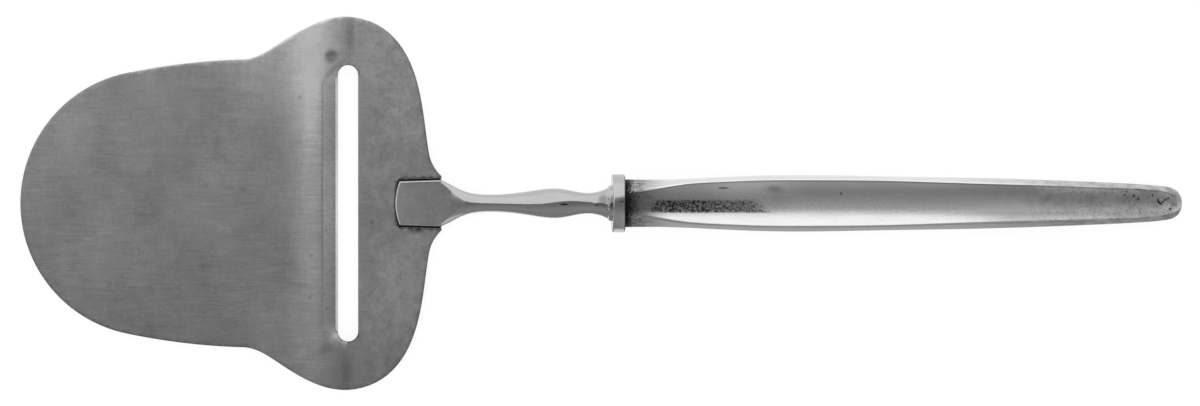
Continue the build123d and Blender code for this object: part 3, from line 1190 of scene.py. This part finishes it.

# %% Paint the light and shade on the steel
def painted_light_and_shade(points, plan):
    """Painted light and shade: bright and dark patches, the fold, the flap, the bevel and the cut
    edges.
    """
    x, y = points[:, 0], points[:, 1]
    along = plan[:, 0]
    before_slot = along < slot_middle
    # Painted light: lighter towards +y, plus the patches of the table
    shade = 1 + np.where(y > 0, 0.006, 0.0036) * y + patches(points, light_and_shade_patches)
    shade += 0.12 * ~before_slot
    past_fold = along - top_fold_x - fold_turn(plan[:, 1])
    # Painted highlight on the strip before the fold
    near_fold = np.exp(-(((x + 52.2) / 3.0) ** 2)) * before_slot
    near_fold *= 1 - 0.55 * ease(past_fold / (2 * fold_softness(plan[:, 1])))
    shade += near_fold * (0.33 + 0.42 * ease((y + 12) / 26))
    # Painted shade on the cut edge and its rim, lighter along the upper lobe
    at_edge = ~far_from(plan, border[rounding > 0], 0.13 * mm)
    on_rim = at_edge & (points[:, 2] * mm < topside(along, plan[:, 1]) - 0.01 * mm)
    bright_side = (y > 20) & (x > -85) & (x < -42)
    shade *= np.where(at_edge, np.where(bright_side, 1.12, 0.8), 1)
    shade *= np.where(on_rim, np.where(bright_side, 0.8, 0.16), 1)
    # Painted shade along the fold's crease
    creased = ease((y + 21) / 14) * ease((23.6 - y) / 1.5)
    shade *= np.where(np.abs(past_fold + 0.1 * mm) < 0.22 * mm, 1 - 0.14 * creased, 1)
    # Painted highlight on the flap, and a painted highlight and shade where the fold turns in
    on_flap = (along > top_fold_x) & before_slot
    shade += np.where(on_flap, patches(points, [(0.32, -49.0, -1.0, 4, 9)]), 0)
    shade *= np.where(on_flap & (np.abs(y) < 23), 1.2, 1)
    shade += patches(points, fold_end_patches)
    # Painted shade round the slot's ends
    slot_ends = slot_rim[np.abs(slot_rim[:, 1]) > 23.1 * mm]
    shade *= np.where(far_from(plan, slot_ends, 0.05 * mm), 1, 0.5)
    # Painted shade just before the bevel, and a painted highlight on the bevel
    before_bevel = (np.abs(along - bevel_x + 0.16 * mm) < 0.1 * mm) & (np.abs(y) < 22)
    shade *= np.where(before_bevel, 0.84, 1)
    on_bevel = (along > bevel_x + 0.02 * mm) & (along < slot_front + 0.02 * mm)
    bevel_shine = np.interp(y, (-20, 0, 15, 22), (1.05, 1.05, 0.8, 0.7))
    return shade * np.where(on_bevel & (np.abs(y) < 23.5), bevel_shine, 1)


blade_points = points_of(blade)
blade_plan = blade_points[:, :2] * mm - (tip_x, 0)
blade_shade = painted_light_and_shade(blade_points, blade_plan)
paint(blade, "shade", blade_shade)
print("shade from", round(blade_shade.min(), 2), "to", round(blade_shade.max(), 2))

# %% Paint the smears, the grime and the painted shade in the slits
def smear(points):
    """Smears beyond the ends of the slot, and darker rings in the dents."""
    stain = patches(points, smears)
    for side in (1, -1):
        dent_x, dent_y = (tip_x + dimple_x + side * dimple_lean) / mm, side * dimple_y / mm
        away = np.hypot(points[:, 0] - dent_x, points[:, 1] - dent_y)
        stain += (1.3 + 0.3 * side) * ease(1.5 - away / 1.25)
    return stain


def pocket_grime_and_shade(points, plan):
    """Black dirt and painted shade in the slits, a painted shadow round the pocket's wall, two
    smudges.
    """
    x, y = points[:, 0], points[:, 1]
    deep = points[:, 2] < (plate_top - 0.12 * mm) / mm
    half_slit = (paddle_rear_half + slit_width) / mm
    in_slit = (x > (tip_x + pocket_front) / mm - 0.2) & (np.abs(y) < half_slit + 0.02)
    grime_and_shade = np.where(deep & in_slit, 1.0, 0.0)
    grime_and_shade += patches(points, [(0.8, -33.4, -4.95, 1.5, 0.4), (0.6, -35.6, 4.8, 0.4, 0.4)])
    pocket = np.vstack((pocket_half(), pocket_half() * (1, -1)))
    # Painted shadow in the narrow gap round the pocket's wall
    grime_and_shade = np.maximum(grime_and_shade, np.where(far_from(plan, pocket, 0.06 * mm), 0, 0.9))
    return np.clip(grime_and_shade, 0, 1)


paint(blade, "stain", smear(blade_points))
paint(blade, "grime_and_shade", pocket_grime_and_shade(blade_points, blade_plan))
print("smears and grime painted")

# %% Wire the black filling in the slits, dirt and painted shade
def dull_finish(name, grain, dark, light, depth, **surface):
    """Dull lumpy stuff between two colours; grain is its noise's scale, detail, roughness."""
    stuff = surface_finish(name)
    lumps = stuff.noise((1, 1, 1), *grain)
    colors = {0: lumps, 6: (*dark, 1), 7: (*light, 1)}
    inputs = {
        "Base Color": stuff.node("Mix", colors, output=2, data_type="RGBA"),
        "Normal": stuff.node("Bump", {"Height": lumps, "Distance": depth * mm}),
    }
    return stuff.show(stuff.node("BsdfPrincipled", {**inputs, **surface}))


# Near black: it stands for dirt and for the painted shade down in the slits
dirt_and_shade = dull_finish(
    "slit_dirt_and_shade", (3.0, 4), (0.001, 0.001, 0.001), (0.012, 0.011, 0.01), 0.05,
    **{"Roughness": 0.9, "Specular IOR Level": 0.08},
)
for piece in slit_dirt_and_shade:
    piece.data.materials.append(dirt_and_shade)
print("dirt wired")

# %% [markdown]
# ## Forged steel
# The neck was polished on a wheel and is much shinier than the sheet; the ground paddle
# keeps a satin surface, and the slanting run-out of the wheel lies between the two, with a
# little painted shade. Polishing leaves faint lines along the neck. The trumpet beside the
# collar carries painted shade, a painted shadow against the collar and a painted highlight,
# and there is one nick in the swell.

# %% Wire the neck's steel
def neck_finish():
    """Polished forging with a satin paddle, and painted shade and highlights on the trumpet."""
    steel = surface_finish("forged_steel")
    satin, slanted = steel.painted("ground"), steel.painted("slanted")
    lines = steel.noise((0.08, 1.5, 1.5), 1.5, 3)
    cloud = steel.noise((0.4, 0.4, 0.4), 1.0, 4)
    fine = steel.noise((1, 1, 1), 2.6, 5, 0.75)
    pits = steel.noise((1, 1, 1), 2.2, 2).step(0.68, 0.75)
    nick = steel.spot(-6.6, -0.2, 0.7, 0.17, 0.3)
    # Painted shade and a painted highlight on the trumpet, and a painted shadow by the collar
    shade_spot = steel.spot(-0.7, -0.35, 0.4, 0.22)
    glint = steel.spot(-1.1, 0.1, 0.35, 0.13)
    trumpet_shade = steel.spot(0.45, 0.5, 0.85, 0.95, 0.6)
    collar_shadow = steel.spot(1.95, 0.1, 0.3, 1.25, 0.4)
    brushed = (fine - 0.5) * satin
    # The run-out is painted a little darker, as painted shade; the nick is a real mark
    tone = (
        0.38 + 0.1 * cloud + 0.05 * lines + 0.16 * satin - 0.06 * pits - 0.2 * trumpet_shade
        - 0.24 * collar_shadow - 0.09 * slanted + 0.3 * brushed - 0.4 * nick - 0.25 * shade_spot
        + 0.45 * glint
    )
    roughness = 0.08 + 0.08 * cloud + 0.16 * satin - 0.08 * slanted
    return steel.metal(tone.kept(0.01, 0.95), roughness, height=lines, depth=0.004)


def paint_ground_flat():
    """Mark the points that the grinding wheel left flat, and where it ran out."""
    points = points_of(shank)
    x, z = points[:, 0], points[:, 2]
    flat = np.array(grinding_block()[1:-2]) / mm
    wheel = np.interp(x, flat[:, 0], flat[:, 1])
    on_flat = (x < flat[-1, 0] + 0.01) & (np.abs(z - wheel) < 0.05)
    rim = (x < rear_x / mm - 0.5) & (z > (paddle_top - 0.3 * mm) / mm)
    paint(shank, "ground", np.where(on_flat, 1.0, np.where(rim, 0.6, 0.0)))
    paint(shank, "slanted", np.where(on_flat, ease((x - rear_x / mm + 0.6) / 0.6), 0.0))
    print(int(on_flat.sum()), "points are on the ground flat")


paint_ground_flat()
shank.data.materials.append(neck_finish())

# %% [markdown]
# ## Silver
# Silver is brighter than steel and turns dark where sulphur reaches it: at the mouth beside
# the collar, in a speckled patch along the flute, and in pits near the end. The rest is kept
# bright by the hand that holds it, with fine scratches. Lines of painted shade and a painted
# highlight run beside the ridges, and across the flute one side is painted lighter and the
# other darker.

# %% Tarnish at the mouth and in the flute
def mouth_tarnish(silver, x, flute, speckle):
    """Black beside the collar, ragged, and fading in streaks along the flute."""
    frayed = x + (speckle - 0.5) * 6.0
    solid = frayed.step(5.3, 6.1, 1.0, 0.0)
    ragged = frayed.step(6.0, 8.6, 0.8, 0.0) * flute.step(0.0, 1.0, 0.42, 1.0)
    streaks = silver.noise((0.3, 1.8, 1.8), 1.4, 4, 0.6).step(0.38, 0.62, 0.32, 0.58)
    fading = x.step(6.5, 13.0, 1.0, 0.0) * streaks
    return solid.at_least(ragged).at_least(fading) * x.step(4.2, 4.4)


def flute_tarnish(x, y, speckle, grit):
    """The speckled black patch in the flute, soft on one side and crisp on the other."""
    off = speckle - 0.5
    frayed = x + off * 6.0
    along = frayed.step(6.8, 10.5) * (frayed + y * 1.3).step(26.8, 29.6, 1.0, 0.0)
    across = (y + off * 1.8).step(0.85, 0.25) * y.step(-1.8, -1.58)
    grains = grit.step(0.38, 0.57, 0.36, 1.0) * x.step(15.0, 26.0, 1.0, 0.84)
    return along * across * grains


print("tarnish reaches from 4 mm to 29 mm")

# %% Pits near the handle's end
# Place and half sizes of each pit, then of the fainter smudges
deep_pits = [
    (94.86, 2.1, 0.2, 0.2), (96.2, 1.35, 0.27, 0.27), (97.0, 0.75, 0.25, 0.27),
    (94.6, 1.5, 0.22, 0.2), (99.6, 1.45, 0.22, 0.28), (100.62, 0.5, 0.2, 0.42),
    (100.9, 0.1, 0.24, 0.24), (101.2, -0.12, 0.22, 0.2), (101.5, 0.25, 0.25, 0.2),
    (101.9, 0.6, 0.28, 0.2), (102.4, 0.9, 0.3, 0.16), (102.8, -1.05, 0.27, 0.27),
]
faint_pits = [
    (81.0, 1.3, 0.8, 0.6), (80.0, 0.6, 0.9, 0.5), (89.1, 0.95, 0.7, 0.25),
    (87.9, 0.8, 0.5, 0.25), (95.5, 0.5, 0.25, 0.6), (94.4, 0.1, 0.25, 0.5),
    (97.2, -0.85, 0.45, 0.25), (102.6, -1.9, 0.5, 0.2), (100.0, 0.2, 0.9, 0.3),
    (86.4, 0.2, 0.6, 0.4),
]


def end_pits(silver, speckle):
    """Dark pits, a cracked place and a pitted cluster near the handle's end."""
    fray = (speckle - 0.5) * 1.4
    pits = total([silver.spot(*pit, 0.5, fray) for pit in deep_pits])
    smudges = total([silver.spot(*pit, 0.7, fray) for pit in faint_pits])
    cluster = silver.spot(95.6, 0.6, 2.0, 1.5) * speckle.step(0.56, 0.64)
    return (pits + smudges * 0.36 + cluster) * 0.82


print(len(deep_pits), "pits and", len(faint_pits), "smudges")

# %% Wire the silver
def silver_dirt_and_shade(silver, x, y, flute, ridge, end, mottle):
    """Everything that darkens the silver, from 0 to 1: tarnish, scars, pits and painted shade
    lines.
    """
    on_flank = 1.0 - flute
    speckle = silver.noise((1, 1, 1), 4.0, 3, 0.7)
    grit = silver.noise((1, 1, 1), 2.7, 3, 0.75)
    fray = (speckle - 0.5) * 4.0
    scars = (
        silver.spot(22.0, 2.75, 0.9, 0.15, 0.4) + silver.spot(43.3, 1.75, 0.16, 0.3, 0.4)
        + silver.spot(3.75, 0.3, 0.5, 0.16, 0.6)
    )
    smudge = (
        silver.spot(31.2, 2.6, 1.4, 0.5, 0.7, fray)
        + silver.spot(31.6, 1.3, 1.6, 1.3, 0.8, fray) * 0.35
    )
    worn = end * mottle.step(0.35, 0.65)
    # ridge holds painted shade lines beside the ridges, not tarnish
    dirt_and_shade = worn * 0.25 + on_flank * end * 0.2 + scars * 0.75 + smudge * 0.36 + ridge * 0.4
    near_mouth = x.step(7.0, 9.4, 1.0, 0.0) * x.step(4.2, 4.4)
    mottled_flank = on_flank * near_mouth * grit.step(0.38, 0.6, 0.22, 0.8)
    pitted = x.step(72.0, 86.0) * grit.step(0.49, 0.66, 0.0, 0.4) * flute
    dirt_and_shade = dirt_and_shade.at_least(mottled_flank) + pitted
    dirt_and_shade = dirt_and_shade.at_least(mouth_tarnish(silver, x, flute, speckle))
    return dirt_and_shade.at_least(flute_tarnish(x, y, speckle, grit)).at_least(end_pits(silver, speckle))


def silver_film_and_light(x, y, flute, ridge):
    """How bright the silver is: painted light and shade across the flute, and a painted highlight.
    """
    # Painted light and shade: across the flute one side lighter, the other darker
    dulled = x.step(8.0, 33.0, -0.36, 0.0) * y.step(-1.7, -1.3)
    side_light = y.step(-1.2, 2.5, 0.34, -0.36) * x.step(24.0, 40.0) * y.step(-2.0, -1.0)
    dull_middle = y.step(-1.7, -0.2) * y.step(1.7, 0.3, 0.0, -0.3)
    clean_sides = y.step(1.2, 2.8, 0.0, 0.5) + y.step(-1.5, -2.7, 0.0, 0.4)
    near_end = (dull_middle + clean_sides) * x.step(74.0, 85.0)
    # Painted highlight beside the ridges
    edge_shine = ridge.at_most(0.0) * -0.5
    return (dulled + side_light + near_end + 1.0) * flute + (1.0 - flute) * 0.94 + edge_shine


def silver_finish(name, brightness, dullness):
    """Silver with tarnish, pits, fine scratches, and painted light and shade."""
    silver = surface_finish(name)
    x, y = silver.axis("X"), silver.axis("Y")
    flute, ridge = silver.painted("flute"), silver.painted("ridge")
    fine = silver.noise((1, 1, 1), 2.2, 5, 0.75)
    cloud = silver.noise((0.15, 0.5, 0.4), 1.0, 4)
    mottle = silver.noise((0.5, 0.7, 0.7), 1.0, 4, 0.6)
    scratches = silver.noise((0.12, 2.2, 2.2), 1.6, 3)
    end, nose = x.step(58.0, 92.0), x.step(100.4, 102.6)
    dirt_and_shade = silver_dirt_and_shade(silver, x, y, flute, ridge, end, mottle)
    tone = brightness - 0.16 + 0.12 * cloud + 0.07 * scratches + 0.09 * fine + 0.05 * mottle
    tone = tone * silver_film_and_light(x, y, flute, ridge) * (1.0 - dirt_and_shade).clamped()
    roughness = dullness + 0.12 * fine + 0.3 * dirt_and_shade + 0.12 * end + 0.22 * nose
    return silver.metal(tone.kept(0.02, 0.95), roughness, height=scratches + fine, depth=0.004)


print("silver finish ready")

# %% Paint the handle and give it its silver
def ridge_line(out_off, up_off, width):
    """1 on a line beside the ridge, fading to 0 over its width in millimetres."""
    return np.clip(1.25 - np.hypot(out_off, up_off) / (width * mm), 0, 1)


def paint_handle(piece, sign):
    """Mark the flute, the painted shade lines by its ridges, and a painted highlight."""
    points = points_of(piece) * mm - mouth_centre
    side = points[:, 1]
    along, up = points @ handle_along, sign * (points @ handle_up)
    out = np.interp(along, stations[:, 0], stations[:, 2])
    ridge_up = np.interp(along, stations[:, 0], stations[:, 3])
    inside_ridges = (np.abs(side) < out - 0.04 * mm) & (up > 0.5 * ridge_up)
    paint(piece, "flute", np.where(inside_ridges, 1.0, 0.0))
    below = up - ridge_up + 0.25 * mm
    near_side, far_side = [ridge_line(s * side - out - 0.1 * mm, below, 0.3) for s in (-1, 1)]
    fades = 1 - 0.85 * ease((along / mm - 50) / 40)
    from_ridge = np.hypot(side - out + 0.16 * mm, up - ridge_up + 0.05 * mm)
    just_inside = np.clip(1.2 - from_ridge / (0.2 * mm), 0, 1) * inside_ridges
    before_nose = 1 - ease((along / mm - 97.4) / 1.6)
    # Painted shade lines where positive, and a painted highlight where negative
    lines = (near_side - 0.35 * far_side) * fades + 0.8 * just_inside
    paint(piece, "ridge", lines * before_nose)


silver = silver_finish("silver", 0.76, 0.2)
for piece, sign in ((upper_shell, 1), (lower_shell, -1)):
    paint_handle(piece, sign)
    piece.data.materials.append(silver)
collar.data.materials.append(silver_finish("collar_silver", 0.49, 0.12))
seam.data.materials.append(silver_finish("silver_solder", 0.5, 0.2))
print("silver wired")

# %% [markdown]
# ## What stays hidden
# Two construction pieces are never seen from outside: the film of brass that holds the
# paddle, and the cement inside the handle. They are carried over from the frame as they
# are, and still get honest materials, since anyone who opens the model will see them.

# %% Wire the hidden pieces
def brass_finish():
    """Brazing brass, yellow and a little blotchy."""
    brass = surface_finish("braze_alloy")
    cloud = brass.noise((1, 1, 1), 1.0, 4)
    return brass.metal(cloud * 0.3 + 0.45, cloud * 0.2 + 0.25, (1.0, 0.86, 0.55))


cement = dull_finish(
    "handle_cement", (0.8, 6, 0.7), (0.16, 0.12, 0.08), (0.46, 0.40, 0.32), 0.1, Roughness=0.85
)
for node, finish in (("braze_film", brass_finish()), ("handle_filler", cement)):
    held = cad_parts[node].data.materials
    held.clear()
    held.append(finish)
print("hidden pieces wired")

# %% [markdown]
# ## The studio
# Polished metal shows the room more than itself. A white room all round would make it pure
# white, so a curved grey card hangs overhead, open towards the top of the picture: the
# level blade reflects the card and reads as mid grey, while the upper sides of the neck,
# collar and handle reflect the white room beyond its edge. Grey strips on the table do the
# same for the lower sides. The cards are seen only by metals, never by the camera.

# %% The floor
floor_half = 12.0
floor_glow = 0.8


def build_floor():
    """A wide pale floor that reads white to the eye and still takes the shadow."""
    corners = [(x * floor_half, y * floor_half, 0) for x, y in ((-1, -1), (1, -1), (1, 1), (-1, 1))]
    floor = new_object("floor", corners, [(0, 1, 2, 3)])
    white = new_finish("floor_white")
    matte = white.node("BsdfDiffuse", {"Color": (0.9, 0.9, 0.9, 1)})
    glow = white.node("Emission", {"Color": (1, 1, 1, 1), "Strength": 1.05})
    seen, glossy, through = [
        white.node("LightPath", output=f"Is {kind} Ray")
        for kind in ("Camera", "Glossy", "Transmission")
    ]
    share = seen.at_least(glossy).at_least(through) * floor_glow
    floor.data.materials.append(white.show(white.node("MixShader", {0: share, 1: matte, 2: glow})))
    return floor


floor = build_floor()
print("floor", 2 * floor_half, "m wide")

# %% The grey cards
card_radius = 1.2
card_columns, card_rows = 65, 49
card_left, card_right = -0.93, 0.97
card_edge, card_slant = 0.345, 0.55
strip_level = 0.4 * mm
strip_far_y = -1.2


def put_card(name, points, faces, strengths):
    """A card that only mirrors and metals see, brighter or darker from point to point."""
    card = new_object(name, points, faces)
    card.visible_camera = False
    card.visible_shadow = False
    card.visible_diffuse = False
    paint(card, "glow", strengths)
    grey = new_finish(name)
    inputs = {"Color": (1, 1, 1, 1), "Strength": grey.painted("glow")}
    card.data.materials.append(grey.show(grey.node("Emission", inputs)))
    return card


def card_strength(dx, dy):
    """Darkest overhead, brighter towards the viewer, the lower right and the handle's end."""
    corner = ease((dx - 0.14) / 0.16) * ease((-dy - 0.55) / 0.2)
    beyond = ease((dx - 0.85) / 0.05)
    return 0.25 + 0.17 * ease(-dy / 0.9) + 0.5 * corner + 0.3 * beyond * (1 - corner)


def overhead_card():
    """The curved card overhead; its edge slants from the blade's tip side to the top right."""
    rows, strengths = [], []
    for dx in np.linspace(card_left, card_right, card_columns):
        reach = sqrt(1 - dx * dx)
        far = min(card_edge + card_slant * dx, 0.98 * reach)
        row = [(dx, dy) for dy in np.linspace(-reach, far, card_rows)]
        rows.append([(x, y, sqrt(max(1 - x * x - y * y, 0.0))) for x, y in row])
        strengths += [card_strength(x, y) for x, y in row]
    faces = ring_faces(ring_numbers(rows), closed=False)
    return put_card("grey_card", np.vstack(rows) * card_radius, faces, strengths)


def table_card(name, low_x, high_x, near_y, strength, spread=0.0):
    """A grey strip on the table beside the neck or the handle, spreading away from it."""
    corners = [
        (low_x - spread, strip_far_y, strip_level), (high_x, strip_far_y, strip_level),
        (high_x, near_y, strip_level), (low_x, near_y, strip_level),
    ]
    return put_card(name, corners, [(0, 1, 2, 3)], [strength] * 4)


strips = [
    table_card("strip_by_neck", -24 * mm, 0.5 * mm, -7 * mm, 0.36, 1.2),
    table_card("strip_by_collar", 0.5 * mm, 5.5 * mm, -20 * mm, 0.36),
    table_card("strip_by_handle", 5.5 * mm, 300 * mm, -0.5 * mm, 0.45),
]
overhead_card()
print(len(strips), "strips and one overhead card")

# %% The white room and the settings of the picture
def light_room():
    """An even white room; to the eye it is plain white."""
    world = bpy.data.worlds.new("white_room")
    bpy.context.scene.world = world
    room = Finish(world)
    strength = room.node("LightPath", output="Is Camera Ray").step(0.0, 1.0, 1.2, 1.0)
    background = room.node("Background", {"Color": (1, 1, 1, 1), "Strength": strength})
    room.node("OutputWorld", {"Surface": background})


light_room()
bpy.context.scene.view_settings.view_transform = "Standard"
print("room lit")

# %% [markdown]
# ## The camera
# The slicer lies flat and is seen straight from above with a long lens, so its proportions
# stay true. The picture is 217 mm wide at the height of the blade.

# %% Set the camera
camera_distance = 1.5
picture_width = 0.21706
aim_x, aim_y = -0.00014, 0.00005


def set_camera():
    """A long lens straight above the slicer."""
    data = bpy.data.cameras.new("camera")
    camera = bpy.data.objects.new("camera", data)
    bpy.context.scene.collection.objects.link(camera)
    data.sensor_width = 36.0
    data.lens = data.sensor_width * camera_distance / picture_width
    camera.location = (aim_x, aim_y, camera_distance + plate_top)
    bpy.context.scene.camera = camera
    return camera


camera = set_camera()
print("lens", round(camera.data.lens, 1), "mm")
